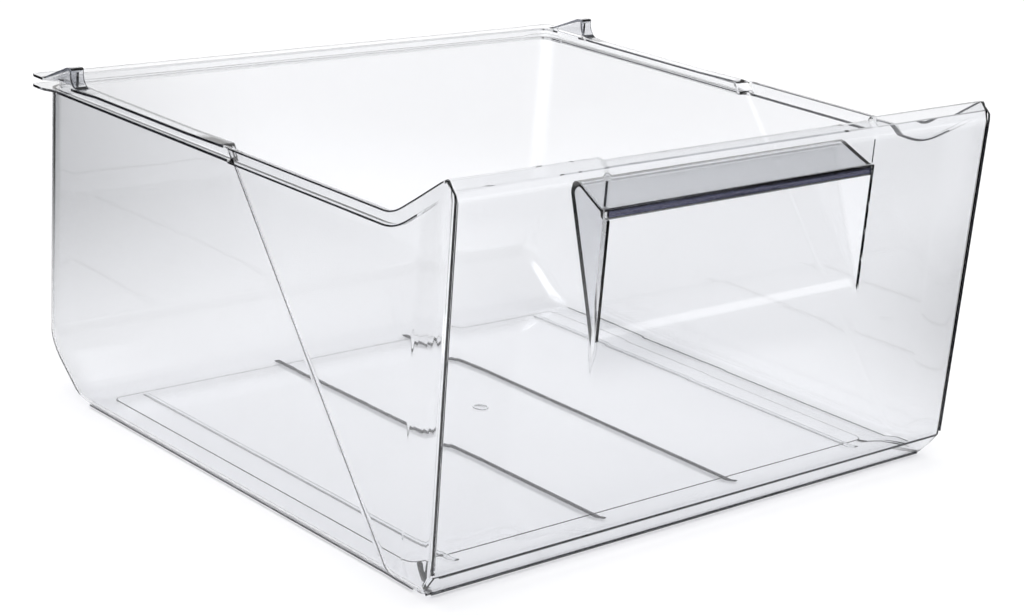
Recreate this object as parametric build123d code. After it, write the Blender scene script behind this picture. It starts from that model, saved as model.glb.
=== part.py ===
from build123d import *
import os

os.makedirs("parts", exist_ok=True)

# ---------------------------------------------------------------- driving sizes
# millimetres; x to the right seen from the front, y to the back, z up.
# While the shapes are made, y is counted from the fold line of the front
# panel; every piece is moved by -Y_MID at the end, so that the origin lies
# under the middle of the whole drawer, on the plane that it stands on.
T = 2.2                    # wall of the moulding

Z_FOLD = 225.0             # fold line between front panel and its leaning band
Z_TOP = 231.7              # top edge of the front
Y_TOP = 6.7                # the band leans back by this much
W_FOLD = 214.6             # half width of the front panel at the fold
W_FLOOR_F = 210.8          # half width of the front panel at z = 0
Y_SHIN = 3.3               # the front leans in by this much from fold to floor

Z_TOE = 15.0               # toe: chamfer between front panel and floor
Y_TOE = 13.9

W_REAR0 = 208.4            # side wall behind the seam, half width at z = 0
W_REAR1 = 209.8            # and under the rail, at z = Z_LEDGE
W_CHEEK0 = 209.9           # side wall ahead of the seam, at z = 0
W_CHEEK1 = 211.4           # and at z = Z_LEDGE
Y_BACK = 400.0             # outer face of the back wall
Z_CHAM = 31.0              # rear chamfer: height on the back wall
Y_CHAM = 360.0             # and where it meets the floor
R_BOT = 8.0                # outer radius, side wall to floor
R_COR_B = 12.0             # outer radius of the upright corners, rear
R_COR_F = 4.0              # front

SEAM_Y0 = 37.5             # the seam runs from (SEAM_Y0, 0)
SEAM_K = 0.805             # and gains this much y for each mm of height
SEAM_D = 2.6               # depth of the step strip along it

Z_LEDGE = 195.4            # underside of the rim ledge
T_LEDGE = 1.6
Z_RAIL = 203.4             # top of the guide rail (behind the seam)
T_FLANGE = 1.6
W_LEDGE = 212.2            # ledge, half width
W_WEB = 205.7              # web of the guide rail, half width (outer face)
W_FLANGE = 212.2           # top flange, half width
Y_WEB = 398.0              # web of the back rim, outer face
Z_RAMP = 204.2             # the rail ramps up to this, just behind the seam
Y_RAMP = 240.0

Z_RIM = 204.2              # rim ahead of the seam
W_RIM = 213.6
Y_DIP = 49.5               # where that rim turns up towards the front
R_DIP = 25.0

Y_FLANGE_B = 406.0         # rear edge of the back rim's top flange
Y_LEDGE_B = 404.3          # and of its ledge
Y_EAR = 407.5              # rear tips
W_EAR = 216.0              # half width over the rear ears
Y_HUMP = 361.0             # upright face of the stop hook
Z_HUMP = 215.6
Y_SLOPE = 396.0            # where the slope behind the hook levels out

PANEL_W = 187.5            # raised floor panel, half width
PANEL_Y0, PANEL_Y1 = 46.7, 350.0
PANEL_UP = 0.4
RIB_X = (-166.5, -55.0, 55.0, 166.5)
RIB_Y0 = 34.0
RIB_Y1 = (345.0, 360.0, 360.0, 345.0)
RIB_W, RIB_H = 2.4, 1.3

GRIP_W = 107.5             # finger pocket, half width at the front
GRIP_W_B = 104.3           # and at its back
Z_LIP = 199.0              # underside of the grip lip
Z_LIP_TOP = 204.0
Z_V = 127.0                # lowest point of the pocket
POCKET_D = 31.5            # depth of the pocket
Z_POCKET = 208.0           # where its back is deepest
Z_ROOF = 213.0             # ridge of its roof
Y_ROOF = 27.0

Y_MID = Y_EAR / 2


# ---------------------------------------------------------------- helpers
def box(x0, x1, y0, y1, z0, z1):
    return Pos((x0 + x1) / 2, (y0 + y1) / 2, (z0 + z1) / 2) * Box(x1 - x0, y1 - y0, z1 - z0)


def yz(points, x0, x1):
    """Prism: a closed (y, z) outline, extruded from x0 to x1."""
    f = make_face(Plane.YZ.offset(x0) * Polyline(*points, close=True))
    return extrude(f, amount=x1 - x0, dir=(1, 0, 0))


def yz_face(face, x0, x1):
    return extrude(Plane.YZ.offset(x0) * face, amount=x1 - x0, dir=(1, 0, 0))


def xz(points, y0, y1):
    f = make_face(Plane.XZ.offset(-y0) * Polyline(*points, close=True))
    return extrude(f, amount=y1 - y0, dir=(0, 1, 0))


def xy(points, z0, z1):
    f = make_face(Plane.XY.offset(z0) * Polyline(*points, close=True))
    return extrude(f, amount=z1 - z0, dir=(0, 0, 1))


def rounded(points, radii):
    """Flat outline with some of its corners rounded: radii = {index: radius}."""
    f = make_face(Polyline(*points, close=True))
    for i, r in radii.items():
        p = Vector(*points[i])
        v = min(f.vertices(), key=lambda q: (Vector(q) - p).length)
        f = fillet(v, r)
    return f


def tub(w0, w1, y00, y01, yb, r, z0, z1):
    """Upright block: half width w0 at z0 and w1 at z1, front at y00 and y01."""
    a = Plane.XY.offset(z0) * Pos(0, (y00 + yb) / 2) * RectangleRounded(2 * w0, yb - y00, r)
    b = Plane.XY.offset(z1) * Pos(0, (y01 + yb) / 2) * RectangleRounded(2 * w1, yb - y01, r)
    return loft(Sketch() + [a, b], ruled=True)


def mirrored(s):
    return mirror(s, about=Plane.YZ)


def lin(a, b, z):
    return a + (b - a) * z / Z_LEDGE


def w_rear(z):
    return lin(W_REAR0, W_REAR1, z)


def w_cheek(z):
    return lin(W_CHEEK0, W_CHEEK1, z)


def w_front(z):
    return W_FLOOR_F + (W_FOLD - W_FLOOR_F) * z / Z_FOLD


def y_front(z):
    return Y_SHIN * (1 - z / Z_FOLD)


# ---------------------------------------------------------------- wall shell
Z_HI = 240.0
kc = (Y_BACK - Y_CHAM, Z_CHAM)                       # chamfer direction
lc = (kc[0] ** 2 + kc[1] ** 2) ** 0.5
kt = (Y_TOE - y_front(Z_TOE), Z_TOE)
lt = (kt[0] ** 2 + kt[1] ** 2) ** 0.5


def side_profile(d):
    """Side outline of the tub, moved in by d: floor, chamfer, back, front, toe."""
    # rear chamfer, moved in by d along its normal
    cy = Y_CHAM + (-d * lc / kc[1] + d * kc[0] / kc[1])
    cz = Z_CHAM + (d * lc / kc[0] - d * kc[1] / kc[0])
    ty = Y_TOE + (d * lt / kt[1] - d * kt[0] / kt[1])
    tz = Z_TOE + (d * lt / kt[0] - d * kt[1] / kt[0]) - d * 0.02
    return [(ty, d), (cy, d), (Y_BACK - d, cz), (Y_BACK - d, Z_HI),
            (y_front(Z_HI) + d, Z_HI), (y_front(tz) + d, tz)]


def shell(w, wi, r):
    """Tub wall, T thick: half width w(z) outside and wi(z) - T inside, rounded below."""
    out = tub(w(-1), w(Z_HI), y_front(-1), y_front(Z_HI), Y_BACK, r, -1, Z_HI)
    ins = tub(wi(-1) - T, wi(Z_HI) - T, y_front(-1) + T, y_front(Z_HI) + T, Y_BACK - T, r - T, -1, Z_HI + 1)
    prof_o = yz(side_profile(0), -260, 260)
    prof_i = yz(side_profile(T), -260, 260)

    def cross(w, d, rr):
        f = rounded([(-w(0) + d, d), (w(0) - d, d), (w(Z_HI) - d + 0.3, Z_HI + 1), (-w(Z_HI) + d - 0.3, Z_HI + 1)],
                    {0: rr, 1: rr})
        return extrude(Plane.XZ.offset(20) * f, amount=460, dir=(0, 1, 0))

    return (out & prof_o & cross(w, 0, R_BOT)) - (ins & prof_i & cross(wi, T, R_BOT - T))


shell_rear = shell(w_rear, w_rear, R_COR_B)
shell_cheek = shell(w_cheek, w_cheek, R_COR_F)
shell_step = shell(w_cheek, w_rear, R_COR_F)
shell_front = shell(w_front, w_front, R_COR_F)

# regions that the shell is divided by
BIG = 300
Z_ZONE = R_BOT                                        # top of the floor zone
Y_ZONE = Y_BACK - R_COR_B                             # back wall starts here
Y_FRONT = 12.0                                        # front panel ends here
Y_FLARE = 30.0                                        # cheek is straight behind this


def seam_y(z):
    return SEAM_Y0 + SEAM_K * z


behind = yz([(seam_y(-10), -10), (500, -10), (500, 250), (seam_y(250), 250)], -BIG, BIG)
ahead = yz([(seam_y(-10) - SEAM_D, -10), (-20, -10), (-20, 250), (seam_y(250) - SEAM_D, 250)], -BIG, BIG)
strip_zone = yz([(seam_y(-10) - SEAM_D, -10), (seam_y(-10), -10), (seam_y(250), 250), (seam_y(250) - SEAM_D, 250)],
                -BIG, BIG)
k = Z_CHAM / (Y_BACK - Y_CHAM)
cham_zone = yz([(Y_CHAM, -5), (410, -5), (410, Z_CHAM + 3), (Y_CHAM + (Z_CHAM + 3 - Z_ZONE) / k, Z_CHAM + 3),
                (Y_CHAM, Z_ZONE)], -BIG, BIG)
back_zone = box(-BIG, BIG, Y_ZONE, 410, Z_CHAM + 3, Z_LEDGE)
toe_zone = yz([(-5, -5), (Y_TOE, -5), (Y_TOE, Z_ZONE), (Y_FRONT, Z_TOE), (-5, Z_TOE)], -BIG, BIG)
front_zone = box(-BIG, BIG, -5, Y_FRONT, Z_TOE, Z_FOLD)
floor_zone = box(-BIG, BIG, Y_TOE, Y_CHAM, -1, Z_ZONE)

NODES = {}

# ---------------------------------------------------------------- floor
panel_plan = Pos(0, (PANEL_Y0 + PANEL_Y1) / 2) * RectangleRounded(2 * PANEL_W, PANEL_Y1 - PANEL_Y0, 7)
panel_cut = extrude(panel_plan, amount=20)
NODES["floor_panel"] = Pos(0, 0, PANEL_UP) * extrude(panel_plan, amount=T)
margin = ((shell_rear & behind) + (shell_cheek & ahead) + (shell_step & strip_zone)) & floor_zone
margin = margin - Pos(0, 0, -5) * panel_cut
X_SPLIT = PANEL_W - 7
NODES["floor_left_border"] = margin & box(-BIG, -X_SPLIT, -20, 500, -5, 20)
NODES["floor_right_border"] = margin & box(X_SPLIT, BIG, -20, 500, -5, 20)
NODES["floor_front_border"] = margin & box(-X_SPLIT, X_SPLIT, -20, 200, -5, 20)
NODES["floor_rear_border"] = margin & box(-X_SPLIT, X_SPLIT, 200, 500, -5, 20)

for name, x, y1 in zip(("outer_left", "inner_left", "inner_right", "outer_right"), RIB_X, RIB_Y1):
    top = PANEL_UP + T
    w = RIB_W / 2
    over = box(x - w, x + w, PANEL_Y0, PANEL_Y1, top, top + RIB_H)
    front = box(x - w, x + w, RIB_Y0, PANEL_Y0, T, top + RIB_H)
    rib = over + front
    if y1 > PANEL_Y1:
        rib = rib + box(x - w, x + w, PANEL_Y1, y1 - 3, T, top + RIB_H)
    else:
        rib = rib - box(x - 5, x + 5, y1, PANEL_Y1 + 5, 0, 20)
    NODES["floor_rib_" + name] = rib
NODES["gate_mark"] = Pos(6, 217, PANEL_UP + T) * Cylinder(4.6, 0.5, align=(Align.CENTER, Align.CENTER, Align.MIN))

# ---------------------------------------------------------------- back
X_COR = W_REAR0 - R_COR_B
NODES["back_wall"] = shell_rear & back_zone & box(-X_COR, X_COR, 300, 500, 0, 300)
corner = shell_rear & back_zone & box(-BIG, -X_COR, 300, 500, 0, 300)
NODES["left_rear_corner"] = corner
NODES["right_rear_corner"] = mirrored(corner)
NODES["rear_chamfer_panel"] = shell_rear & cham_zone

# ---------------------------------------------------------------- side walls
left = box(-BIG, 0, -20, 500, Z_ZONE, Z_LEDGE)
wall = ((shell_rear & behind) & left) - cham_zone - box(-BIG, BIG, Y_ZONE, 410, -5, 250)
NODES["left_side_wall"] = wall
NODES["right_side_wall"] = mirrored(wall)

# rim of the cheek, side view: level, then up to the top corner of the front
slope = (Z_TOP - Z_RIM) / (Y_DIP - (Y_TOP + 1.8))
H_RIM = Z_RIM - Z_LEDGE
dy = H_RIM * ((1 + slope * slope) ** 0.5 - 1) / slope
Y_DIP_L = Y_DIP - dy


def low_line(y, d=0.0):
    return Z_LEDGE + d + (Y_DIP_L + (dy * d / H_RIM) - y) * slope


Y_RIM0 = 9.0
band_pts = [(seam_y(Z_RIM) - SEAM_D, Z_RIM), (Y_DIP, Z_RIM), (Y_RIM0, Z_RIM + (Y_DIP - Y_RIM0) * slope),
            (Y_RIM0, low_line(Y_RIM0)), (Y_DIP_L, Z_LEDGE), (seam_y(Z_LEDGE) - SEAM_D, Z_LEDGE)]
band_face = rounded(band_pts, {1: R_DIP, 4: R_DIP + H_RIM})
ledge_pts = [(seam_y(Z_LEDGE + T_LEDGE) - SEAM_D, Z_LEDGE + T_LEDGE), (Y_DIP_L + dy * T_LEDGE / H_RIM, Z_LEDGE + T_LEDGE),
             (Y_RIM0, low_line(Y_RIM0, T_LEDGE)), (Y_RIM0, low_line(Y_RIM0)), (Y_DIP_L, Z_LEDGE),
             (seam_y(Z_LEDGE) - SEAM_D, Z_LEDGE)]
ledge_face = rounded(ledge_pts, {1: R_DIP + H_RIM - T_LEDGE, 4: R_DIP + H_RIM})
under_pts = [(600, -5), (600, Z_LEDGE), (Y_DIP_L, Z_LEDGE), (-20, low_line(-20)), (-20, -5)]
under_rim = yz_face(rounded(under_pts, {2: R_DIP + H_RIM}), -BIG, BIG)

rim = yz_face(band_face, -W_RIM, -W_RIM + T) + yz_face(ledge_face, -W_RIM, -(W_CHEEK1 - T))

# cheek: straight behind Y_FLARE, flared out to the front panel ahead of it
cheek_straight = (shell_cheek & ahead & box(-BIG, 0, Y_FLARE, 300, Z_ZONE, 250))
zz0, zz1 = 0.0, 236.0


def quad(y, w):
    p = [(-w(zz0), zz0), (-w(zz0) + T, zz0), (-w(zz1) + T, zz1), (-w(zz1), zz1)]
    return make_face(Plane.XZ.offset(-y) * Polyline(*p, close=True))


flare = loft(Sketch() + [quad(Y_FRONT, w_front), quad(Y_FLARE, w_cheek)], ruled=True)
flare = flare & box(-BIG, 0, Y_FRONT, Y_FLARE, Z_ZONE, 250)
cheek = (cheek_straight + flare) & under_rim
cheek = cheek - toe_zone - box(-BIG, BIG, Y_FRONT, 200, -5, Z_ZONE)
rim = rim & box(-BIG, 0, Y_FRONT, 300, 0, Z_TOP)
# the step along the seam, closed at the top with the end plate of the guide rail
step = shell_step & strip_zone & box(-BIG, 0, -20, 300, Z_ZONE, Z_LEDGE)
end = strip_zone & box(-W_RIM, -(W_WEB - T), 0, 300, Z_LEDGE, Z_RIM)
NODES["left_seam_step"] = step + end
NODES["right_seam_step"] = mirrored(step + end)
NODES["left_front_cheek"] = cheek
NODES["right_front_cheek"] = mirrored(cheek)
NODES["left_front_rim"] = rim
NODES["right_front_rim"] = mirrored(rim)

# ---------------------------------------------------------------- front
front = shell_front & front_zone
opening = box(-GRIP_W, GRIP_W, -5, 8, Z_V, Z_FOLD)
NODES["front_panel"] = front - opening
NODES["front_toe"] = shell_front & toe_zone
strip = front & box(-GRIP_W, GRIP_W, -5, 8, Z_LIP_TOP, Z_FOLD)
NODES["grip_strip"] = strip

# leaning band, with a rounded top edge and short returns onto the cheeks
s = T / 2 ** 0.5
band = rounded([(0, Z_FOLD), (Y_TOP, Z_TOP), (Y_TOP + 2.3, Z_TOP), (Y_TOP + 2.3, Z_TOP - 1.2), (T, Z_FOLD)],
               {1: 0.9})
band_solid = yz_face(band, -W_FOLD, W_FOLD)
side_band = (shell_front & box(-BIG, BIG, Y_TOP, Y_FRONT, Z_FOLD, Z_TOP))
side_band = side_band & yz([(Y_TOP, Z_FOLD), (Y_FRONT, Z_FOLD), (Y_FRONT, Z_TOP), (Y_TOP, Z_TOP)], -BIG, BIG)
NODES["front_top_band"] = band_solid + side_band

# ---------------------------------------------------------------- finger pocket
yf = y_front(Z_V)
lip = rounded([(0.35, Z_LIP), (5.6, Z_LIP), (5.6, Z_LIP_TOP), (0.35, Z_LIP_TOP)], {0: 1.6, 1: 2.2})
grip_lip = yz_face(lip, -120, 120)
# pocket back: from the low point up and in
nb = (Z_POCKET - Z_V, -(POCKET_D - yf))
nl = (nb[0] ** 2 + nb[1] ** 2) ** 0.5
off = T * nl / nb[0]
back_pts = [(yf, Z_V), (POCKET_D - off, Z_POCKET - 1.5), (POCKET_D, Z_POCKET - 1.5), (yf + off, Z_V)]
roof_pts = [(5.6, Z_LIP_TOP - 1.7), (Y_ROOF - 1, Z_ROOF - T), (POCKET_D - off, Z_POCKET - 1.5),
            (POCKET_D, Z_POCKET - 1.5), (POCKET_D - 0.4, Z_POCKET + 1.6), (Y_ROOF, Z_ROOF), (Y_ROOF - 3, Z_ROOF),
            (5.6, Z_LIP_TOP + 0.7)]
# side gussets: thin triangular plates that narrow the pocket towards its back
gus_out = [(y_front(Z_V) + T, Z_V), (POCKET_D, Z_POCKET - 1.5), (POCKET_D - 0.4, Z_POCKET + 1.6), (Y_ROOF, Z_ROOF),
           (Y_ROOF - 3, Z_ROOF), (T, Z_LIP_TOP + 0.7), (T, Z_LIP), (y_front(160) + T, 160)]
slab = xy([(-GRIP_W - T, 0), (-GRIP_W_B - T, POCKET_D + 1), (-GRIP_W_B, POCKET_D + 1), (-GRIP_W, 0)], 120, 230)
between = xy([(-GRIP_W, 0), (-GRIP_W_B, POCKET_D + 1), (GRIP_W_B, POCKET_D + 1), (GRIP_W, 0)], 120, 230)
gus = (yz(gus_out, -130, -90) & slab) - front
NODES["pocket_left_gusset"] = gus
NODES["pocket_right_gusset"] = mirrored(gus)
NODES["pocket_back"] = (yz(back_pts, -120, 120) & between) 
NODES["grip_lip"] = grip_lip & between
NODES["pocket_roof"] = (yz(roof_pts, -120, 120) & between) - NODES["pocket_back"] - NODES["grip_lip"]

# ---------------------------------------------------------------- guide rails (behind the seam)
z1, z2, z3 = Z_LEDGE + T_LEDGE, Z_RAIL - T_FLANGE, Z_RAIL
w_in = W_WEB - T
rail = box(-W_LEDGE, -w_in, 100, Y_ZONE, Z_LEDGE, z1)
rail = rail + box(-W_WEB, -W_WEB + T, 100, Y_ZONE, z1, z2)
rail = rail + box(-W_FLANGE, -W_WEB + T, 100, Y_ZONE, z2, z3)
ramp = yz([(Y_RAMP, z3), (seam_y(Z_RAMP), Z_RAMP), (seam_y(z3), z3)], -W_LEDGE, -W_WEB + T)
rail = (rail + ramp) & behind
NODES["left_guide_rail"] = rail
NODES["right_guide_rail"] = mirrored(rail)

# ---------------------------------------------------------------- back rim


def ring(w_o, yb_o, r_o, w_i, yb_i, r_i, za, zb):
    o = Pos(0, yb_o / 2, za) * extrude(RectangleRounded(2 * w_o, yb_o, r_o), amount=zb - za)
    i = Pos(0, yb_i / 2, za - 1) * extrude(RectangleRounded(2 * w_i, yb_i, r_i), amount=zb - za + 2)
    return (o - i) & box(-BIG, BIG, Y_ZONE, 500, za, zb)


w_web_i = W_WEB - T
y_web_i = Y_WEB - T
R_WEB = 9.0
brim = ring(W_LEDGE, Y_LEDGE_B, 14, w_web_i, y_web_i, R_WEB - T, Z_LEDGE, z1)
brim = brim + ring(W_WEB, Y_WEB, R_WEB, w_web_i, y_web_i, R_WEB - T, z1, z2)
brim = brim + ring(W_FLANGE, Y_FLANGE_B, 14, w_web_i, y_web_i, R_WEB - T, z2, z3)
ear_plan = [(-206, 384), (-W_LEDGE, 384), (-W_EAR, 394), (-W_EAR, 404.5), (-W_EAR + 3, Y_EAR),
            (-203, Y_EAR), (-194, Y_LEDGE_B - 0.5), (-194, Y_WEB - 1), (-203, Y_WEB - 4), (-206, 392)]
low_ear = xy(ear_plan, Z_LEDGE, z1)
up_plan = [(-206, Y_ZONE), (-W_EAR, Y_ZONE), (-W_EAR, 404.5), (-W_EAR + 3, Y_EAR), (-203, Y_EAR),
           (-194, Y_FLANGE_B - 0.5), (-194, Y_WEB - 1), (-203, Y_WEB - 4)]
up_ear = xy(up_plan, z2, z3)
inner_cut = Pos(0, y_web_i / 2, 190) * extrude(RectangleRounded(2 * w_web_i, y_web_i, R_WEB - T), amount=30)
ears = (low_ear + up_ear) & box(-BIG, 0, Y_ZONE, 500, 0, 300)
ears = ears + mirrored(ears)
brim = brim + (ears - inner_cut)

# ---------------------------------------------------------------- stop hooks
arc_r = 9.0
outer_line = [(340, Z_RAIL), (340, Z_RAIL + 0.02), (Y_HUMP, Z_RAIL + 0.02), (Y_HUMP, Z_HUMP), (367, Z_HUMP),
              (Y_SLOPE, Z_RAIL)]
of_face = rounded(outer_line, {2: arc_r, 3: 1.6, 4: 1.6})
in_line = [(Y_HUMP + 2 - 12, Z_RAIL), (Y_HUMP + 2, Z_RAIL), (Y_HUMP + 2, Z_HUMP - 1.8), (366.2, Z_HUMP - 1.8),
           (Y_SLOPE - 4.4, Z_RAIL)]
in_face = rounded(in_line[1:], {})
plate = yz_face(of_face, -W_EAR, -w_web_i) - yz_face(in_face, -W_EAR - 1, -w_web_i + 1)
taper = xy([(-W_FLANGE, 336), (-W_EAR, Y_HUMP - 2), (-W_EAR, 410), (-w_web_i, 410), (-w_web_i, 336)], 150, 250)
plate = plate & taper
web = yz_face(in_face, -W_WEB, -W_WEB + T)
hook = plate + web
NODES["left_stop_hook"] = hook
NODES["right_stop_hook"] = mirrored(hook)
# the flange widens under the hook
wide = xy([(-W_FLANGE, 336), (-W_EAR, Y_HUMP - 2), (-W_EAR, Y_ZONE), (-W_FLANGE, Y_ZONE)], z2, z3)
low_wide = (low_ear & box(-BIG, 0, 380, Y_ZONE, 0, 300)) - box(-W_LEDGE, 0, 300, 500, 0, 300)
NODES["left_guide_rail"] = NODES["left_guide_rail"] + wide + low_wide
NODES["right_guide_rail"] = mirrored(NODES["left_guide_rail"])
NODES["back_rim"] = brim

# ---------------------------------------------------------------- write
if __name__ == "__main__":
    for name, s in NODES.items():
        s = Pos(0, -Y_MID, 0) * s
        export_step(s, f"parts/{name}.step")
        bb = s.bounding_box()
        print(f"{name:22s} solids {len(s.solids())} vol {s.volume / 1000:9.2f} cm3  "
              f"x {bb.min.X:.1f}..{bb.max.X:.1f}  y {bb.min.Y:.1f}..{bb.max.Y:.1f}  z {bb.min.Z:.1f}..{bb.max.Z:.1f}")
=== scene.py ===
import math

import bpy
import bmesh
from mathutils import Matrix, Vector


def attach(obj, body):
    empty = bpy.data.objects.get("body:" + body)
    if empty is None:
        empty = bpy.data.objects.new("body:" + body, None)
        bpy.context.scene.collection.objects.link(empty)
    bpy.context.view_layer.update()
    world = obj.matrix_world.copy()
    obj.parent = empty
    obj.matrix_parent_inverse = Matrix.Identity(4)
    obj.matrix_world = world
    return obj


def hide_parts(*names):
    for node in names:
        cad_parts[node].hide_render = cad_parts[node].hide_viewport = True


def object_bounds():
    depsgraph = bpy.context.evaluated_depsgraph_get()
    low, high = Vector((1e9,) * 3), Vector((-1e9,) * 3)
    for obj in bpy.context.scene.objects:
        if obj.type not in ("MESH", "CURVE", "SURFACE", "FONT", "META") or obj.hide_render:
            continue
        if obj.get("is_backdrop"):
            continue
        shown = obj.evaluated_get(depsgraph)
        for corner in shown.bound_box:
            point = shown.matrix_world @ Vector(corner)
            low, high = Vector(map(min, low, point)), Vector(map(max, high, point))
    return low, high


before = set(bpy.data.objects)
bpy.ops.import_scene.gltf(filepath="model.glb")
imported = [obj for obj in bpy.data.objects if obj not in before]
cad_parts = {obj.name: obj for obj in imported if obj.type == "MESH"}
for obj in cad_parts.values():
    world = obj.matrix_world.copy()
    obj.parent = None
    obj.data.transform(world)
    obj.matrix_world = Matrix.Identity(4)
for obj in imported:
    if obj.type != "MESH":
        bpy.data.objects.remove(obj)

CAD_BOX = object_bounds()


def plain(v):
    if isinstance(v, (int, float)):
        return float(v)
    return [plain(x) for x in v]


# ---------------------------------------------------------------- sizes, mm
# y is counted from the front fold line while shapes are made, as in the CAD.
T = 2.2
Y_MID = 203.75
Z_FOLD, Z_TOP, Y_TOP = 225.0, 231.7, 6.7
W_FOLD, W_FLOOR_F, Y_SHIN = 214.6, 210.8, 3.3
Z_TOE, Y_TOE = 15.0, 13.9
W_REAR0, W_REAR1, W_CHEEK0, W_CHEEK1 = 209.0, 210.5, 209.9, 211.4
Y_BACK, Z_CHAM, Y_CHAM = 400.0, 31.0, 360.0
R_BOT, R_COR = 8.0, 12.0
SEAM_Y0, SEAM_K, SEAM_D = 37.5, 0.805, 2.6
Z_LEDGE, T_LEDGE, Z_RAIL, T_FLANGE = 195.4, 1.6, 203.4, 1.6
W_LEDGE, W_WEB, W_FLANGE = 212.2, 205.7, 212.2
Z_RIM, W_RIM = 204.2, 213.6
Y_DIP, A_DIP = 49.5, 7.6
SLOPE = (Z_TOP - Z_RIM) / (Y_DIP - (Y_TOP + 1.8))
Y_WEB, Y_FLANGE_B, Y_LEDGE_B = 398.0, 406.0, 404.3
W_EAR, Y_EAR, Y_HUMP, Z_HUMP, Y_SLOPE = 216.0, 407.5, 361.0, 215.6, 396.0
GRIP_W, GUS = 107.5, 109.7
Z_V, Z_LIP, Z_LIP_TOP = 127.0, 199.0, 204.7
POCKET_D, Z_POCKET, Y_ROOF, Z_ROOF = 31.5, 208.0, 27.0, 213.0
NARROW = 3.2 / 32.5
PANEL_W, PANEL_Y0, PANEL_Y1, PANEL_UP = 187.5, 46.7, 350.0, 0.4


def lin(a, b, z):
    return a + (b - a) * z / Z_LEDGE


def w_rear(z):
    return lin(W_REAR0, W_REAR1, z)


def w_cheek(z):
    return lin(W_CHEEK0, W_CHEEK1, z)


def w_front(z):
    return W_FLOOR_F + (W_FOLD - W_FLOOR_F) * min(z, Z_FOLD) / Z_FOLD


def y_front(z):
    return Y_SHIN * (1 - z / Z_FOLD)


def seam(z):
    return SEAM_Y0 + SEAM_K * z


def rise(y, low=False):
    """How much the rim ahead of the seam stands higher at y."""
    y0, a = (Y_DIP - 2.0, A_DIP + 2.4) if low else (Y_DIP, A_DIP)
    if y >= y0 + a:
        return 0.0
    if y <= y0 - a:
        return SLOPE * (y0 - y)
    return SLOPE * (y0 + a - y) ** 2 / (4 * a)


A_BACK = 10.0                              # the rear chamfer runs into the back wall over this height


def back(z, inner):
    k = (Y_BACK - Y_CHAM) / Z_CHAM
    if z > Z_CHAM + A_BACK:
        y, t = Y_BACK, 0.0
    elif z < Z_CHAM - A_BACK:
        y, t = Y_CHAM + k * z, 1.0
    else:
        y, t = Y_BACK - k * (Z_CHAM + A_BACK - z) ** 2 / (4 * A_BACK), (Z_CHAM + A_BACK - z) / (2 * A_BACK)
    y -= 8.0 * max(0.0, 1 - z / 8.0) ** 2
    if inner:
        y -= T + (math.hypot(1, k) - 1) * T * t
    return y


def front(z, inner):
    toe = Y_TOE - (Y_TOE - y_front(Z_TOE)) * z / Z_TOE
    if inner:
        return max(y_front(z) + T, toe + T * math.hypot(Y_TOE - y_front(Z_TOE), Z_TOE) / Z_TOE)
    return max(y_front(z), toe)


def foot(z, inner):
    """How far the side wall's rounded foot curves in at z."""
    r = R_BOT - T if inner else R_BOT
    return 0.0 if z >= R_BOT else r - math.sqrt(max(0.0, r * r - (R_BOT - z) ** 2))


# ---------------------------------------------------------------- closed section
OUT_Z = [0.0, 0.6, 1.7, 3.4, 5.6, 8.0, 15.0, 21.0, 24.0, 27.5, 31.0, 34.5, 38.0, 41.0, 60.0, 95.0, 127.0, 150.0, 175.0, Z_LEDGE]
IN_Z = OUT_Z[:5:-1] + [8.0, 6.0, 4.3, 3.1, 2.45, T]
NU = 10
I_OUT = 2                              # first wall level outside
I_UP = I_OUT + len(OUT_Z)              # first point of the rim
I_IN = I_UP + NU                       # first wall level inside
I_END = I_IN + len(IN_Z)
N_SEC = I_END + 2

# rim points: (kind, z) with kind o = ledge, w = web, f = flange, i = inner face
RAIL = [("o", Z_LEDGE), ("o", Z_LEDGE + T_LEDGE), ("w", Z_LEDGE + T_LEDGE), ("w", 199.4), ("w", Z_RAIL - T_FLANGE),
        ("f", Z_RAIL - T_FLANGE), ("f", Z_RAIL), ("i", Z_RAIL), ("i", 199.4), ("i", Z_LEDGE)]
LIMIT = {"o": (Y_LEDGE_B, 14.0), "w": (Y_WEB, 9.0), "f": (Y_FLANGE_B, 14.0), "i": (Y_WEB - T, 9.0 - T)}
# rear tips, one point for each station of the corner, from the back to the side
EAR = [(199.0, Y_EAR), (207.0, Y_EAR), (213.0, Y_EAR), (215.3, 406.4), (W_EAR, 404.0), (W_EAR, 399.0), (W_EAR, 394.0)]


def rail_w(kind, y):
    if kind == "w":
        return W_WEB
    if kind == "i":
        return W_WEB - T
    if kind == "o":
        return W_LEDGE + (W_EAR - W_LEDGE) * min(1.0, max(0.0, (y - 384) / 10))
    # the flange leaves the rail under the hook, where it is bent up
    wide = W_FLANGE + (W_EAR - W_FLANGE) * min(1.0, max(0.0, (y - 338) / 22))
    if Y_HUMP < y < 391:
        return W_WEB + 0.2
    return wide


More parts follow.
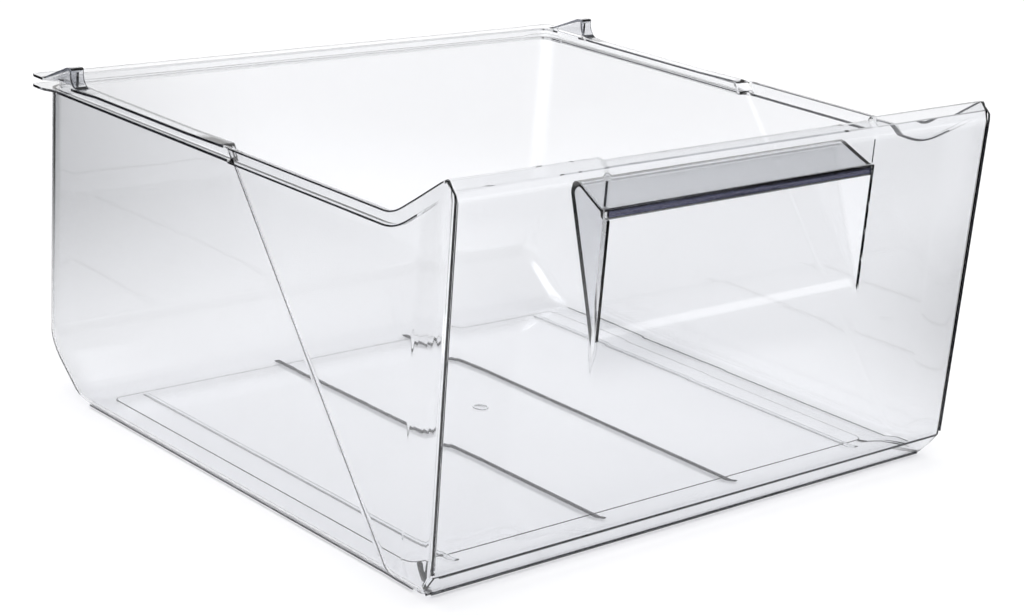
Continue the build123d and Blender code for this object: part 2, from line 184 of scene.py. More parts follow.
def section_rear(kind, u, d=0.0, b=0.0):
    """All points of one station behind the seam. kind: back (u = fraction of x), corner (u = k) or side (u = y).
    d: how far ahead of the seam line the station is; b: how much of the step outwards it has taken."""
    pts = []

    def wall(z, inner):
        w = w_rear(z) + b * (w_cheek(z) - w_rear(z)) - (T if inner else 0) - foot(z, inner)
        yb = back(z, inner)
        r = (R_COR - T if inner else R_COR)
        if kind == "back":
            return (u * (w - r), yb, z)
        if kind == "corner":
            a = math.radians(15 * u)
            return (w - r + r * math.sin(a), yb - r + r * math.cos(a), z)
        s0 = seam(z) - d - (0.4 if inner else 0)
        top = seam(Z_LEDGE)
        t = (u - top) / (Y_BACK - R_COR - top)
        return (w, s0 + max(0.0, t) * (yb - r - s0), z)

    def panel(grow, z):
        w, y0, y1, r = PANEL_W + grow, PANEL_Y0 - grow, PANEL_Y1 + grow, 7.0
        if kind == "back":
            return (u * (w - r), y1, z)
        if kind == "corner":
            a = math.radians(15 * u)
            return (w - r + r * math.sin(a), y1 - r + r * math.cos(a), z)
        y = wall(0.0, False)[1]
        return (w, min(max(y, y0 + r), y1 - r), z)

    def rim(n):
        k, z = RAIL[n]
        yb, r = LIMIT[k]
        w = rail_w(k, u if kind == "side" else 400)
        if k in "of" and kind != "side":
            if kind == "back":
                x = u * 194.0
                return (x, yb + (Y_EAR - yb) * max(0.0, (x - 186) / 8) ** 2, z)
            return EAR[u] + (z,)
        if kind == "back":
            return (u * (w - r), yb, z)
        if kind == "corner":
            a = math.radians(15 * u)
            return (w - r + r * math.sin(a), yb - r + r * math.cos(a), z)
        y = max(u, seam(z) - d)
        if z > 200 and k in "fi" and y < 240:
            z = z + (Z_RIM - Z_RAIL) * (240 - y) / (240 - seam(Z_RAIL))
        return (w, y, z)

    pts.append(panel(-0.4, PANEL_UP))
    pts.append(panel(0.0, 0.0))
    pts += [wall(z, False) for z in OUT_Z]
    pts += [rim(n) for n in range(NU)]
    pts += [wall(z, True) for z in IN_Z]
    pts.append(panel(0.0, T))
    pts.append(panel(-0.4, T + PANEL_UP))
    return pts


R_F = 4.0                                  # upright front corners


def section_cheek(ytop, d=2.7, b=1.0):
    """One station ahead of the seam, at y = ytop at the height of the ledge."""
    pts = []
    top_y = seam(Z_LEDGE) - d

    def along(z, inner):
        if ytop >= 30:
            s0 = seam(min(z, Z_LEDGE)) - d - (0.4 if inner else 0.0)
            t = (ytop - 30) / (top_y - 30)
            return 30 + min(t, 1.0) * (s0 - 30)
        return max(ytop, front(z, inner) + (R_F - T if inner else R_F) + 0.3 + ytop * 0.12)

    def w_at(z, y):
        if y >= 30:
            return w_cheek(z) - (1 - b) * (w_cheek(z) - w_rear(z))
        t = min(1.0, (30 - y) / 18.0)
        return w_cheek(z) + (w_front(z) - w_cheek(z)) * t

    def wall(z, inner):
        y = along(z, inner)
        zz = z + (rise(y, True) if z == Z_LEDGE else 0.0)
        if z == 175.0:
            zz = z + 0.6 * rise(y, True)
        return (w_at(zz, y) - (T if inner else 0) - foot(z, inner), y, zz)

    def panel(grow, z):
        w, y0, r = PANEL_W + grow, PANEL_Y0 - grow, 7.0
        return (w, max(along(0.0, False), y0 + r), z)

    y = along(Z_LEDGE, False)
    lo, hi = rise(y, True), rise(y)
    wb = max(W_RIM, w_at(Z_LEDGE + lo, y)) if y >= 30 else W_RIM + (w_front(220) - W_RIM) * min(1.0, (30 - y) / 18.0)
    ww = w_at(Z_LEDGE + lo, y)
    ww = min(ww, wb)
    z0, z1 = Z_LEDGE + lo, Z_RIM + hi
    zl = z0 + T_LEDGE
    yy = [y] * NU
    if ytop >= top_y:                      # the seam slants: the rim's end leans with it
        yy = [seam(z) - d for z in (z0, zl, 198.8, 200.6, 202.4, z1)] + [seam(z) - d - 0.6 for z in (z1, 200.6, zl, zl)]
    rim = [(wb, yy[0], z0), (wb, yy[1], zl), (wb, yy[2], zl + (z1 - zl) * 0.25), (wb, yy[3], zl + (z1 - zl) * 0.5),
           (wb, yy[4], zl + (z1 - zl) * 0.75), (wb, yy[5], z1), (wb - T, yy[6], z1), (wb - T, yy[7], zl + (z1 - zl) * 0.5),
           (wb - T, yy[8], zl), (ww - T, yy[9], zl)]
    pts.append(panel(-0.4, PANEL_UP))
    pts.append(panel(0.0, 0.0))
    pts += [wall(z, False) for z in OUT_Z]
    pts += rim
    pts += [wall(z, True) for z in IN_Z]
    pts.append(panel(0.0, T))
    pts.append(panel(-0.4, T + PANEL_UP))
    return pts


STEP = 1.6                                # the top edge is this much lower over the grip


def section_front(a=None, x=None):
    """a: angle of a station in the front corner, 0 at the side; x: station on the front panel."""
    pts = []

    def wall(z, inner):
        w, yf = w_front(z) - foot(z, inner), front(z, inner)
        if inner:
            w -= T
        r = R_F - T if inner else R_F
        if x is not None:
            return (x, yf, z)
        return (w - r + r * math.cos(a), yf + r - r * math.sin(a), z)

    def panel(grow, z):
        w, y0, r = PANEL_W + grow, PANEL_Y0 - grow, 7.0
        if x is not None:
            return (min(x, w - r), y0, z)
        return (w - r + r * math.cos(a), y0 + r - r * math.sin(a), z)

    grip = x is not None and x <= GRIP_W + 0.01
    d = STEP if grip else 0.0
    thick = T + (0.7 if grip else 0.0)
    if x is None:
        wt = w_front(Z_FOLD)
        c = 1 - math.cos(a)
        f_out, f_in = wall(Z_FOLD, False), wall(Z_FOLD, True)
        t_out, t_in = (wt - 0.2 - 1.0 * c, Y_TOP, Z_TOP), (wt - T - 0.3 * c, Y_TOP + 2.3, Z_TOP)
        up = [wall(199.0, False), wall(204.7, False), wall(221.0, False),
              tuple(p + 0.3 * (q - p) for p, q in zip(f_out, t_out)), t_out, t_in,
              tuple(p + 0.25 * (q - p) for p, q in zip(f_in, t_in)), wall(220.6, True), wall(204.7, True), wall(199.0, True)]
    else:
        up = [(x, y_front(199.0), 199.0), (x, y_front(204.7), 204.7), (x, y_front(221.0), 221.0), (x, 2.0, Z_FOLD + 2.0),
              (x, Y_TOP - d * 0.8, Z_TOP - d), (x, Y_TOP + 2.3 - d * 0.4, Z_TOP - d), (x, thick + 1.6, Z_FOLD + 1.7),
              (x, y_front(220.6) + thick, 220.6), (x, y_front(204.7) + thick, 204.7), (x, y_front(199.0) + thick, 199.0)]
    pts.append(panel(-0.4, PANEL_UP))
    pts.append(panel(0.0, 0.0))
    pts += [wall(z, False) for z in OUT_Z]
    pts += up
    pts += [wall(z, True) for z in IN_Z]
    pts.append(panel(0.0, T))
    pts.append(panel(-0.4, T + PANEL_UP))
    return pts


half = []                                  # stations from the middle of the back to the middle of the front
half += [section_rear("back", v) for v in (0.0, 0.2, 0.4, 0.6, 0.8, 0.9, 0.96)]
half += [section_rear("corner", k) for k in range(7)]
half += [section_rear("side", y) for y in (384, 391.01, 390.9, 384, 376, 368, 361.5, 360.9, 356, 350, 344, 338, 320, 300, 280,
                                           260, 240, 230, 222, 214, 208)[3:]]
# the wall steps out ahead of the seam in a soft joggle, and the rail runs into the rim
sec_a, sec_b = section_rear("side", 0.0, -5.4), section_cheek(260, 2.6)
for s, b_wall, b_rim in ((0.0, 0.0, 0.0), (0.2, 0.12, 0.1), (0.4, 0.5, 0.35), (0.6, 0.88, 0.65), (0.8, 1.0, 0.9), (1.0, 1.0, 1.0)):
    mid_sec = []
    for j, (p, q) in enumerate(zip(sec_a, sec_b)):
        b = b_rim if I_UP + 1 < j < I_IN else b_wall
        mid_sec.append((p[0] + b * (q[0] - p[0]), p[1] + s * (q[1] - p[1]), p[2] + b * (q[2] - p[2])))
    half.append(mid_sec)
half += [section_cheek(y) for y in (180, 160, 140, 120, 100, 84, 72, 64, 60, 57, 54, 51, 48, 45, 42, 39, 36, 33, 30,
                                    26, 22, 17, 12, 9)]
half += [section_front(a=math.radians(v)) for v in (0, 22, 45, 68)]
FX = [205.0, 185.0, 160.0, 130.0, 112.0, GUS, GRIP_W, 105.0, 80.0, 53.0, 26.0, 0.0]
half += [section_front(x=v) for v in FX]
for sec in half:
    assert len(sec) == N_SEC, len(sec)
S_GUS = len(half) - len(FX) + FX.index(GUS)
S_GRIP = S_GUS + 1
N_HALF = len(half)

bm = bmesh.new()


def vert(x, y, z):
    return bm.verts.new((x / 1000, (y - Y_MID) / 1000, z / 1000))


# full ring: right half from back to front, then left half from front to back
ring = [(1, i) for i in range(N_HALF)] + [(-1, i) for i in range(N_HALF - 2, 0, -1)]
V = [[vert(s * w, y, z) for (w, y, z) in half[i]] for s, i in ring]
N = len(ring)


def face(vs):
    out = []
    for v in vs:
        if v not in out:
            out.append(v)
    if len(out) >= 3:
        try:
            return bm.faces.new(out)
        except ValueError:
            return None


F1 = I_UP                                  # 199, outside
F9, F10 = I_UP + 8, I_UP + 9               # 204.7 and 199, inside
K127 = I_OUT + OUT_Z.index(127.0)
K127I = I_IN + IN_Z.index(127.0)


def in_hole(a, b, j):
    if a[0] != b[0] and 0 not in (a[1], b[1]) and N_HALF - 1 not in (a[1], b[1]):
        return False
    lo = min(a[1], b[1])
    if K127 <= j < F1:
        return lo >= S_GRIP
    if F9 <= j < K127I:
        return lo >= S_GUS
    return False


for n in range(N):
    m = (n + 1) % N
    for j in range(N_SEC - 1):
        if in_hole(ring[n], ring[m], j):
            continue
        face([V[n][j], V[m][j], V[m][j + 1], V[n][j + 1]])
face([V[n][0] for n in range(N)][::-1])
face([V[n][N_SEC - 1] for n in range(N)])

# ---------------------------------------------------------------- finger pocket
yv = y_front(Z_V)
nb = math.hypot(Z_POCKET - Z_V, POCKET_D - yv)
off = T * nb / (Z_POCKET - Z_V)
y_in = POCKET_D - off


def mix(a, b, t):
    return (a[0] + (b[0] - a[0]) * t, a[1] + (b[1] - a[1]) * t)


b0, b1 = (yv, Z_V), (y_in, 206.5)
seen = [mix(b0, b1, 0.25), mix(b0, b1, 0.5), mix(b0, b1, 0.75), b1, (y_in - 0.6, 208.7), (y_in - 2.2, 210.2), (26.0, 210.8),
        (23.5, 210.2), (15.0, 206.4), (6.2, 202.6), (5.7, 201.9), (5.6, 200.6), (4.9, 199.5), (3.6, 199.0), (1.6, 198.9)]
c0, c1 = (yv + off, Z_V), (POCKET_D, 206.5)
behind = [mix(c0, c1, 0.25), mix(c0, c1, 0.5), mix(c0, c1, 0.75), c1, (31.3, 208.6), (30.2, 211.2), (28.6, 212.5), (27.0, 213.0),
          (24.5, 213.0), (23.2, 212.6), (15.0, 208.9), (5.6, 204.7)]


def grid(profile, first, stations, start, end, flip, wide):
    cols = []
    for n in stations:
        s, i = ring[n]
        x = s * half[i][K127][0]
        col = [V[n][start]]
        col += [vert(x * (wide - NARROW * y) / wide, y, z) for y, z in profile]
        col.append(V[n][end])
        cols.append(col)
    for a, b in zip(cols, cols[1:]):
        for j in range(len(a) - 1):
            q = [a[j], b[j], b[j + 1], a[j + 1]]
            face(q[::-1] if flip else q)
    return cols


st_out = [n for n in range(N) if ring[n][1] >= S_GRIP]
st_in = [n for n in range(N) if ring[n][1] >= S_GUS]
cols = grid(seen, None, st_out, K127, F1, False, GRIP_W)
for col, n in ((cols[0], st_out[0]), (cols[-1], st_out[-1])):
    face(col[:-1] + [V[n][j] for j in range(F1, K127, -1)])
cols = grid(behind, None, st_in, K127I, F9, True, GUS)
for col, n in ((cols[0], st_in[0]), (cols[-1], st_in[-1])):
    face(col[:-1] + [V[n][j] for j in range(F9, K127I)])

bmesh.ops.remove_doubles(bm, verts=bm.verts, dist=2e-5)
bmesh.ops.dissolve_degenerate(bm, edges=bm.edges, dist=1e-5)
bmesh.ops.recalc_face_normals(bm, faces=bm.faces)
crisp = [e for e in bm.edges if e.is_manifold and e.calc_length() > 0.0012 and e.calc_face_angle(0) > math.radians(24)]
bmesh.ops.bevel(bm, geom=crisp, offset=0.00045, offset_type="OFFSET", segments=2, affect="EDGES", profile=0.5, clamp_overlap=True,
                loop_slide=True)
open_edges = [e for e in bm.edges if not e.is_manifold]
print("shell: verts", len(bm.verts), "faces", len(bm.faces), "open edges", len(open_edges))
for e in open_edges[:12]:
    print("   ", [tuple(round(c * 1000, 1) for c in v.co) for v in e.verts], len(e.link_faces))


def finish(name, bm, angle):
    me = bpy.data.meshes.new(name)
    bm.to_mesh(me)
    bm.free()
    for p in me.polygons:
        p.use_smooth = True
    me.set_sharp_from_angle(angle=math.radians(angle))
    ob = bpy.data.objects.new(name, me)
    bpy.context.scene.collection.objects.link(ob)
    # large flat faces keep their own normal; the narrow rounded edges between them take up the turn
    wn = ob.modifiers.new("even", "WEIGHTED_NORMAL")
    wn.mode = "FACE_AREA"
    wn.weight = 100
    wn.keep_sharp = True
    dg = bpy.context.evaluated_depsgraph_get()
    done = bpy.data.meshes.new_from_object(ob.evaluated_get(dg), preserve_all_data_layers=True, depsgraph=dg)
    ob.modifiers.clear()
    ob.data = done
    done.name = name
    bpy.data.meshes.remove(me)
    return ob


shell = finish("drawer_shell", bm, 40)


# ---------------------------------------------------------------- prisms with rounded edges
def prism(name, outline, place, depth0, depth1, bevel, seg=2, angle=30):
    """outline: list of (a, b); place(a, b, d) -> (x, y, z) in mm; extruded from depth0 to depth1."""
    bm = bmesh.new()

    def at(p):
        return bm.verts.new((p[0] / 1000, (p[1] - Y_MID) / 1000, p[2] / 1000))

    a = [at(place(p[0], p[1], depth0)) for p in outline]
    b = [at(place(p[0], p[1], depth1)) for p in outline]
    bm.faces.new(a)
    bm.faces.new(b[::-1])
    for i in range(len(a)):
        j = (i + 1) % len(a)
        bm.faces.new([a[j], a[i], b[i], b[j]])
    bmesh.ops.recalc_face_normals(bm, faces=bm.faces)
    sharp = [e for e in bm.edges if e.calc_face_angle(0) > math.radians(angle)]
    bmesh.ops.bevel(bm, geom=sharp, offset=bevel / 1000, segments=seg, affect="EDGES", profile=0.6, clamp_overlap=True)
    return finish(name, bm, 40)


pieces = [shell]


def arc(cx, cy, r, a0, a1, n):
    return [(cx + r * math.cos(math.radians(a0 + (a1 - a0) * i / n)), cy + r * math.sin(math.radians(a0 + (a1 - a0) * i / n)))
            for i in range(n + 1)]


# stop hook: plate bent up from the rail, its slope back to the tip, and the web that closes its side
def hook(side, name):
    z0 = Z_RAIL + 0.05
    r = 9.0
    outer = [(342.0, z0)] + arc(Y_HUMP - r, z0 + r, r, -80, 0, 8) + [(Y_HUMP, 213.6)] \
        + arc(Y_HUMP + 1.6, Z_HUMP - 1.6, 1.6, 180, 80, 4) + [(366.6, Z_HUMP - 0.3)] + [(391.5, z0 + 1.2), (Y_SLOPE, z0)]
    inner = [(Y_SLOPE - 4.6, z0), (366.0, Z_HUMP - 2.2), (363.3, Z_HUMP - 1.9), (Y_HUMP + 1.8, 213.0)] \
        + arc(Y_HUMP - r, z0 + r, r + 1.8, 0, -50, 5) + [(356.0, z0)]
    line = outer + inner
    bm = bmesh.new()

    def at(x, y, z):
        return bm.verts.new((side * x / 1000, (y - Y_MID) / 1000, z / 1000))

    def w_out(y):
        return W_FLANGE + (W_EAR - W_FLANGE) * min(1.0, max(0.0, (y - 338) / 22)) - 0.3

    a = [at(207.0, y, z) for y, z in line]
    b = [at(w_out(y), y, z) for y, z in line]
    bm.faces.new(a)
    bm.faces.new(b[::-1])
    for i in range(len(a)):
        j = (i + 1) % len(a)
        bm.faces.new([a[j], a[i], b[i], b[j]])
    bmesh.ops.recalc_face_normals(bm, faces=bm.faces)
    sharp = [e for e in bm.edges if e.calc_face_angle(0) > math.radians(50)]
    bmesh.ops.bevel(bm, geom=sharp, offset=0.3 / 1000, segments=2, affect="EDGES", profile=0.6, clamp_overlap=True)
    plate = finish(name, bm, 40)
    tri = [(Y_HUMP + 2.0, z0), (Y_HUMP + 2.0, Z_HUMP - 2.6), (366.0, Z_HUMP - 2.4), (Y_SLOPE - 5.2, z0)]
    web = prism(name + "_web", tri, lambda p, q, d: (side * d, p, q), 209.5, 211.3, 0.25)
    return [plate, web]


pieces += hook(-1, "left_hook")
pieces += hook(1, "right_hook")

# ribs that stand on the floor, with small hooks at their front ends
Z_FL = T + PANEL_UP
for name, x, y1, w in (("rib_outer_left", -166.5, 345.0, 3.0), ("rib_inner_left", -55.0, 357.0, 2.0),
                       ("rib_inner_right", 55.0, 357.0, 2.0), ("rib_outer_right", 166.5, 345.0, 3.0)):
    side_line = [(34.5, T + 0.05), (34.0, T + 0.9), (35.2, Z_FL + 1.2), (y1 - 3, Z_FL + 1.2), (y1, T + 0.5), (y1, T + 0.05)]
    pieces.append(prism(name, side_line, lambda p, q, d, x=x: (x + d, p, q), -w / 2, w / 2, 0.35))

# ring-shaped mark of the injection point
bm = bmesh.new()
NG = 40
prof = [(4.9, Z_FL + 0.03), (4.9, Z_FL + 0.35), (4.5, Z_FL + 0.5), (4.0, Z_FL + 0.42), (3.4, Z_FL + 0.2), (0.0, Z_FL + 0.2)]
rows = [[bm.verts.new(((6 + r * math.cos(2 * math.pi * k / NG)) / 1000, (217 + r * math.sin(2 * math.pi * k / NG) - Y_MID) / 1000,
                       z / 1000)) for k in range(NG)] for r, z in prof[:-1]]
mid = bm.verts.new((0.006, (217 - Y_MID) / 1000, prof[-1][1] / 1000))
for ra, rb in zip(rows, rows[1:]):
    for k in range(NG):
        bm.faces.new([ra[k], ra[(k + 1) % NG], rb[(k + 1) % NG], rb[k]])
for k in range(NG):
    bm.faces.new([rows[-1][k], rows[-1][(k + 1) % NG], mid])
bm.faces.new(rows[0][::-1])
bmesh.ops.recalc_face_normals(bm, faces=bm.faces)
gate = finish("gate_ring", bm, 40)
pieces.append(gate)


# ---------------------------------------------------------------- painted dark lines: nearly black strips along the edges, standing in for the dark lines that refraction shows at the edges of clear plastic
def bead(name, path, a, b):
    """Closed strip along a path of (x, y, z); its section is spanned by the offsets a and b."""
    bm = bmesh.new()
    rows = []
    for p in path:
        corners = (p, tuple(i + j for i, j in zip(p, a)), tuple(i + j + k for i, j, k in zip(p, a, b)),
                   tuple(i + j for i, j in zip(p, b)))
        rows.append([bm.verts.new((q[0] / 1000, (q[1] - Y_MID) / 1000, q[2] / 1000)) for q in corners])
    for r0, r1 in zip(rows, rows[1:]):
        for k in range(4):
            bm.faces.new([r0[k], r0[(k + 1) % 4], r1[(k + 1) % 4], r1[k]])
    bm.faces.new(rows[0][::-1])
    bm.faces.new(rows[-1])
    bmesh.ops.recalc_face_normals(bm, faces=bm.faces)
    long = [e for e in bm.edges if e.calc_face_angle(0) > math.radians(60)]
    bmesh.ops.bevel(bm, geom=long, offset=0.12 / 1000, segments=2, affect="EDGES", profile=0.6, clamp_overlap=True)
    return finish(name, bm, 50)


edges = []
for side, tag in ((-1, "left"), (1, "right")):
    out = (side * 0.7, 0, 0)
    ys = [338, 320, 300, 280, 260, 240, 228, 216, 204 if side < 0 else 199]
    edges.append(bead(tag + "_flange_edge", [(side * 215.27, 358.0, Z_RAIL - T_FLANGE), (side * 214.1, 349.0, Z_RAIL - T_FLANGE)]
                      + [(side * (W_FLANGE + 0.03), y, Z_RAIL - T_FLANGE + max(0.0, (240 - y) / 40.0) * 0.8)
                                             for y in ys], out, (0, 0, T_FLANGE if side < 0 else 0.9)))
    edges.append(bead(tag + "_ledge_edge", [(side * (W_LEDGE + 0.03), y, Z_LEDGE) for y in (382, 350, 300, 250, 200)],
                      out, (0, 0, T_LEDGE if side < 0 else 0.7)))
    ys = [197, 190, 170, 150, 130, 110, 90, 78, 70, 64, 60, 57, 54, 51, 48, 45, 42, 39, 36, 33, 30]
    edges.append(bead(tag + "_rim_foot_edge", [(side * (W_RIM + 0.03), y, Z_LEDGE + rise(y, True)) for y in ys],
                      out, (0, 0, 1.1)))
    ys += [27, 24, 21, 18, 15, 12, 10]
    edges.append(bead(tag + "_rim_top_edge",
                      [(side * (W_RIM + 0.03 + (w_front(220) - W_RIM) * max(0.0, min(1.0, (30 - y) / 18.0))), y,
                        Z_RIM + rise(y) - 1.0) for y in ys], out, (0, 0, 1.0)))
    edges.append(bead(tag + "_front_edge", [(side * (w_front(z) - 1.35), y_front(z) + 0.15, z)
                                            for z in (17, 60, 110, 160, 200, 222)]
                      + [(side * (W_FOLD - 1.35), 0.7, 225.2), (side * (W_FOLD - 1.5), Y_TOP + 0.2, Z_TOP - 0.5)],
                      (side * 1.0, 0, 0), (0, 1.0, 0)))
    edges.append(bead(tag + "_foot_edge", [(side * 204.65, y, 0.0) for y in (350, 250, 150, 48)] + [(side * 205.2, y, 0.0)
                                           for y in (36, 24)], (side * 0.75, 0, 0), (0, 0, 0.7)))
    edges.append(bead(tag + "_strip_edge", [(side * 107.6, y_front(z) + 2.95, z) for z in (206, 215, 220)],
                      (side * 0.7, 0, 0), (0, 0.6, 0)))
    wide = 2.1 if side < 0 else 0.6
    edges.append(bead(tag + "_opening_edge", [(side * (107.3 - wide), y_front(z) + 0.05, z) for z in (130, 150, 175, 198.4)],
                      (side * wide, 0, 0), (0, 1.6 if side < 0 else 0.6, 0)))
edges.append(bead("toe_upper_edge", [(x, 2.3, 14.6) for x in (-206, -100, 0, 100, 206)], (0, 0.7, 0), (0, 0, 1.0)))
edges.append(bead("toe_lower_edge", [(x, 12.55, 0.0) for x in (-202, -100, 0, 100, 202)], (0, 0.75, 0), (0, 0, 0.75)))
# painted shade: a dense dark core inside the grip lip darkens it, standing in for the dark band along the lip's edge
lip_core = bead("grip_lip_core", [(x, 1.0, 199.8) for x in (-106.0, -50, 0, 50, 106.0)], (0, 3.5, 0), (0, 0, 4.0))
pieces += edges + [lip_core]


# ---------------------------------------------------------------- materials
def clear(name, tint, density, rough=0.012, wave=0.12, fine=0.02):
    """Clear moulded plastic: flow waviness from the mould, faint grain, a trace of tint in thick edges."""
    m = bpy.data.materials.new(name)
    m.use_nodes = True
    nt = m.node_tree
    nt.nodes.clear()
    out = nt.nodes.new("ShaderNodeOutputMaterial")
    p = nt.nodes.new("ShaderNodeBsdfPrincipled")
    p.inputs["Base Color"].default_value = (0.985, 0.99, 1.0, 1)
    p.inputs["IOR"].default_value = 1.59
    p.inputs["Transmission Weight"].default_value = 1.0
    p.inputs["Roughness"].default_value = rough
    co = nt.nodes.new("ShaderNodeTexCoord")
    big = nt.nodes.new("ShaderNodeTexNoise")
    big.inputs["Scale"].default_value = 9.0
    big.inputs["Detail"].default_value = 1.0
    big.inputs["Distortion"].default_value = 0.6
    small = nt.nodes.new("ShaderNodeTexNoise")
    small.inputs["Scale"].default_value = 140.0
    small.inputs["Detail"].default_value = 2.0
    b1 = nt.nodes.new("ShaderNodeBump")
    b1.inputs["Strength"].default_value = wave
    b1.inputs["Distance"].default_value = 0.004
    b2 = nt.nodes.new("ShaderNodeBump")
    b2.inputs["Strength"].default_value = fine
    b2.inputs["Distance"].default_value = 0.0002
    for n in (big, small):
        nt.links.new(co.outputs["Object"], n.inputs["Vector"])
    nt.links.new(big.outputs["Fac"], b1.inputs["Height"])
    nt.links.new(small.outputs["Fac"], b2.inputs["Height"])
    nt.links.new(b1.outputs["Normal"], b2.inputs["Normal"])
    nt.links.new(b2.outputs["Normal"], p.inputs["Normal"])
    # the gloss varies a little where the plastic flowed
    ramp = nt.nodes.new("ShaderNodeMapRange")
    ramp.inputs["To Min"].default_value = rough * 0.4
    ramp.inputs["To Max"].default_value = rough * 1.6
    nt.links.new(big.outputs["Fac"], ramp.inputs["Value"])
    nt.links.new(ramp.outputs["Result"], p.inputs["Roughness"])
    vol = nt.nodes.new("ShaderNodeVolumeAbsorption")
    vol.inputs["Color"].default_value = tint + (1,)
    vol.inputs["Density"].default_value = density
    # lamp light and light on its way to the floor pass straight through, tinted, as through any thin clear wall
    lp = nt.nodes.new("ShaderNodeLightPath")
    either = nt.nodes.new("ShaderNodeMath")
    either.operation = "MAXIMUM"
    nt.links.new(lp.outputs["Is Shadow Ray"], either.inputs[0])
    nt.links.new(lp.outputs["Is Diffuse Ray"], either.inputs[1])
    tr = nt.nodes.new("ShaderNodeBsdfTransparent")
    tr.inputs["Color"].default_value = (0.99, 0.99, 0.993, 1)
    mx = nt.nodes.new("ShaderNodeMixShader")
    nt.links.new(either.outputs[0], mx.inputs[0])
    nt.links.new(p.outputs["BSDF"], mx.inputs[1])
    nt.links.new(tr.outputs["BSDF"], mx.inputs[2])
    nt.links.new(mx.outputs["Shader"], out.inputs["Surface"])
    nt.links.new(vol.outputs["Volume"], out.inputs["Volume"])
    return m


plastic = clear("clear_polystyrene", (0.780, 0.784, 0.794), 108.0, wave=0.05)
# painted shade: the edge strips absorb almost all light, so they draw dark lines along the edges
dark_line_edge_mat = clear("clear_polystyrene_painted_dark_edge", (0.50, 0.505, 0.53), 8000.0, rough=0.05, wave=0.02)
# painted shade: the inner floor ribs absorb far more than the walls, so they show as dark lines
dark_line_rib_mat = clear("clear_polystyrene_rib_painted_dark", (0.50, 0.505, 0.53), 3000.0, rough=0.05, wave=0.02)
# painted shade: the lip core absorbs strongly, so the grip lip looks dark
lip_shade_core_mat = clear("clear_polystyrene_lip_painted_dark", (0.50, 0.50, 0.60), 1000.0, rough=0.05, wave=0.02)
hook_mat = clear("clear_polystyrene_hook", (0.60, 0.61, 0.64), 380.0, rough=0.02, wave=0.02)
for ob in pieces:
    dark = ob in edges
    ob.data.materials.append(lip_shade_core_mat if ob is lip_core else dark_line_edge_mat if dark else dark_line_rib_mat if ob.name.startswith("rib_inner") else hook_mat if "_hook" in ob.name else plastic)
    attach(ob, "root")
ribs = [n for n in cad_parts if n.startswith("floor_rib")]
hooks = [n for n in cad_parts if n.endswith("stop_hook")]
rest = [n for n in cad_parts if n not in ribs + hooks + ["gate_mark"]]
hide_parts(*rest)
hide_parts("left_stop_hook")
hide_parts("right_stop_hook")
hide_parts("floor_rib_outer_left")
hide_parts("floor_rib_inner_left")
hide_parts("floor_rib_inner_right")
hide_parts("floor_rib_outer_right")
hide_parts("gate_mark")

# ---------------------------------------------------------------- stage, light, camera
scene = bpy.context.scene
bm = bmesh.new()
vs = [bm.verts.new(p) for p in ((-9, -9, -0.0012), (9, -9, -0.0012), (9, 9, -0.0012), (-9, 9, -0.0012))]
bm.faces.new(vs)
floor = finish("studio_floor", bm, 30)
fm = bpy.data.materials.new("studio_floor")
fm.use_nodes = True
fb = fm.node_tree.nodes["Principled BSDF"]
fb.inputs["Base Color"].default_value = (0.93, 0.93, 0.935, 1)
fb.inputs["Roughness"].default_value = 0.9
fb.inputs["Specular IOR Level"].default_value = 0.0
# painted reflections: two soft dark patches in the floor colour beside the drawer, behind on the left and beside the
# front on the right, seen by glossy rays only, so they show only as dark reflections in the walls; a painted pool of
# light makes the floor under the drawer a little brighter, against the shade it gets there
ft = fm.node_tree
fco = ft.nodes.new("ShaderNodeTexCoord")
path = ft.nodes.new("ShaderNodeLightPath")
last = None
# painted: two dark reflection patches (glossy rays only), then the lighter pool under the drawer (all rays)
for (fx, fy), r_in, r_out, painted_tone_in in (((-0.80, 1.25), 0.66, 1.30, 0.04), ((0.95, -0.66), 0.56, 0.92, 0.04),
                                       ((0.0, 0.0), 0.20, 0.34, 1.065)):
    dist = ft.nodes.new("ShaderNodeVectorMath")
    dist.operation = "DISTANCE"
    dist.inputs[1].default_value = (fx, fy, -0.0012)
    ft.links.new(fco.outputs["Object"], dist.inputs[0])
    soft = ft.nodes.new("ShaderNodeMapRange")
    soft.interpolation_type = "SMOOTHSTEP"
    soft.inputs["From Min"].default_value = r_in
    soft.inputs["From Max"].default_value = r_out
    soft.inputs["To Min"].default_value = painted_tone_in
    soft.inputs["To Max"].default_value = 1.0
    ft.links.new(dist.outputs["Value"], soft.inputs["Value"])
    tone = ft.nodes.new("ShaderNodeMixRGB")
    tone.blend_type = "MULTIPLY"
    tone.inputs["Fac"].default_value = 1.0
    if painted_tone_in < 1.0:
        ft.links.new(path.outputs["Is Glossy Ray"], tone.inputs["Fac"])
    tone.inputs["Color1"].default_value = (0.93, 0.93, 0.935, 1)
    if last:
        ft.links.new(last.outputs["Color"], tone.inputs["Color1"])
    ft.links.new(soft.outputs["Result"], tone.inputs["Color2"])
    last = tone
ft.links.new(last.outputs["Color"], fb.inputs["Base Color"])
floor.data.materials.append(fm)
floor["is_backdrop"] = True

world = bpy.data.worlds.new("studio")
scene.world = world
world.use_nodes = True
nt = world.node_tree
nt.nodes.clear()
out = nt.nodes.new("ShaderNodeOutputWorld")
bg = nt.nodes.new("ShaderNodeBackground")
tc = nt.nodes.new("ShaderNodeTexCoord")
sep = nt.nodes.new("ShaderNodeSeparateXYZ")
ramp = nt.nodes.new("ShaderNodeValToRGB")
nt.links.new(tc.outputs["Generated"], sep.inputs["Vector"])
nt.links.new(sep.outputs["Z"], ramp.inputs["Fac"])
e = ramp.color_ramp.elements
e[0].position, e[0].color = 0.0, (0.305, 0.305, 0.30, 1)
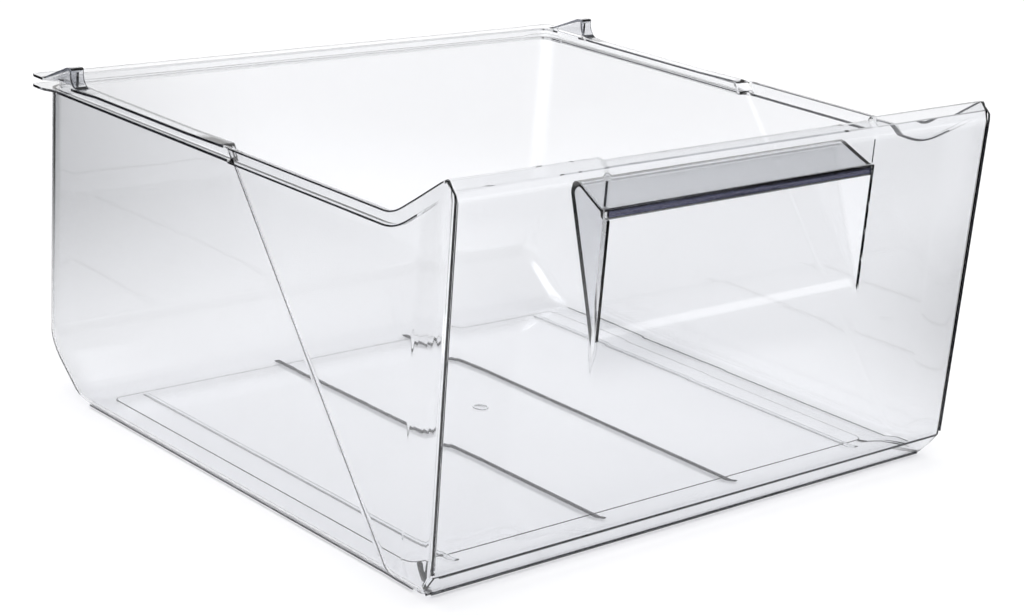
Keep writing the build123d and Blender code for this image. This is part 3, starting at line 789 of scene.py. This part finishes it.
e[1].position, e[1].color = 1.0, (1.0, 1.0, 1.0, 1)
for pos, v in ((0.30, 0.305), (0.40, 0.18), (0.50, 0.11), (0.64, 0.11), (0.74, 0.11), (0.84, 0.13), (0.92, 1.0)):
    k = e.new(pos)
    k.color = (v, v, v * 1.01, 1)
# a dark card low in front on the right, which the sloping back of the finger pocket mirrors
card = Vector((0.72, -0.674, 0.261)).normalized()
dot = nt.nodes.new("ShaderNodeVectorMath")
dot.operation = "DOT_PRODUCT"
dot.inputs[1].default_value = card
nt.links.new(tc.outputs["Generated"], dot.inputs[0])
near = nt.nodes.new("ShaderNodeMapRange")
near.interpolation_type = "SMOOTHSTEP"
near.inputs["From Min"].default_value = 0.91
near.inputs["From Max"].default_value = 0.975
near.inputs["To Min"].default_value = 1.0
near.inputs["To Max"].default_value = 0.08
nt.links.new(dot.outputs["Value"], near.inputs["Value"])
both = nt.nodes.new("ShaderNodeMixRGB")
both.blend_type = "MULTIPLY"
both.inputs["Fac"].default_value = 1.0
nt.links.new(ramp.outputs["Color"], both.inputs["Color1"])
nt.links.new(near.outputs["Result"], both.inputs["Color2"])
nt.links.new(both.outputs["Color"], bg.inputs["Color"])
bg.inputs["Strength"].default_value = 3.5
nt.links.new(bg.outputs["Background"], out.inputs["Surface"])

cam_data = bpy.data.cameras.new("camera")
cam = bpy.data.objects.new("camera", cam_data)
scene.collection.objects.link(cam)
scene.camera = cam
cam_data.sensor_fit = "HORIZONTAL"
cam_data.sensor_width = 36.0
cam_data.lens = 2364.4 * 36.0 / 1024.0
cam_data.clip_end = 100.0
az, el, roll = (math.radians(v) for v in (-42.471, 17.597, 4.296))
rear = Vector((math.sin(az) * math.cos(el), -math.cos(az) * math.cos(el), math.sin(el)))
fwd = -rear
right = fwd.cross(Vector((0, 0, 1))).normalized()
up = right.cross(fwd)
R = math.cos(roll) * right + math.sin(roll) * up
U = -math.sin(roll) * right + math.cos(roll) * up
M = Matrix((R, U, rear)).transposed().to_4x4()
M.translation = Vector((-0.9577, (-859.3 - Y_MID) / 1000, 0.5296))
cam.matrix_world = M

scene.view_settings.view_transform = "Standard"
scene.view_settings.look = "None"
scene.cycles.max_bounces = 24
scene.cycles.transmission_bounces = 24
scene.cycles.glossy_bounces = 8
scene.cycles.diffuse_bounces = 3
scene.cycles.transparent_max_bounces = 32

{"cad": plain(CAD_BOX), "visual": plain(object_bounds())}
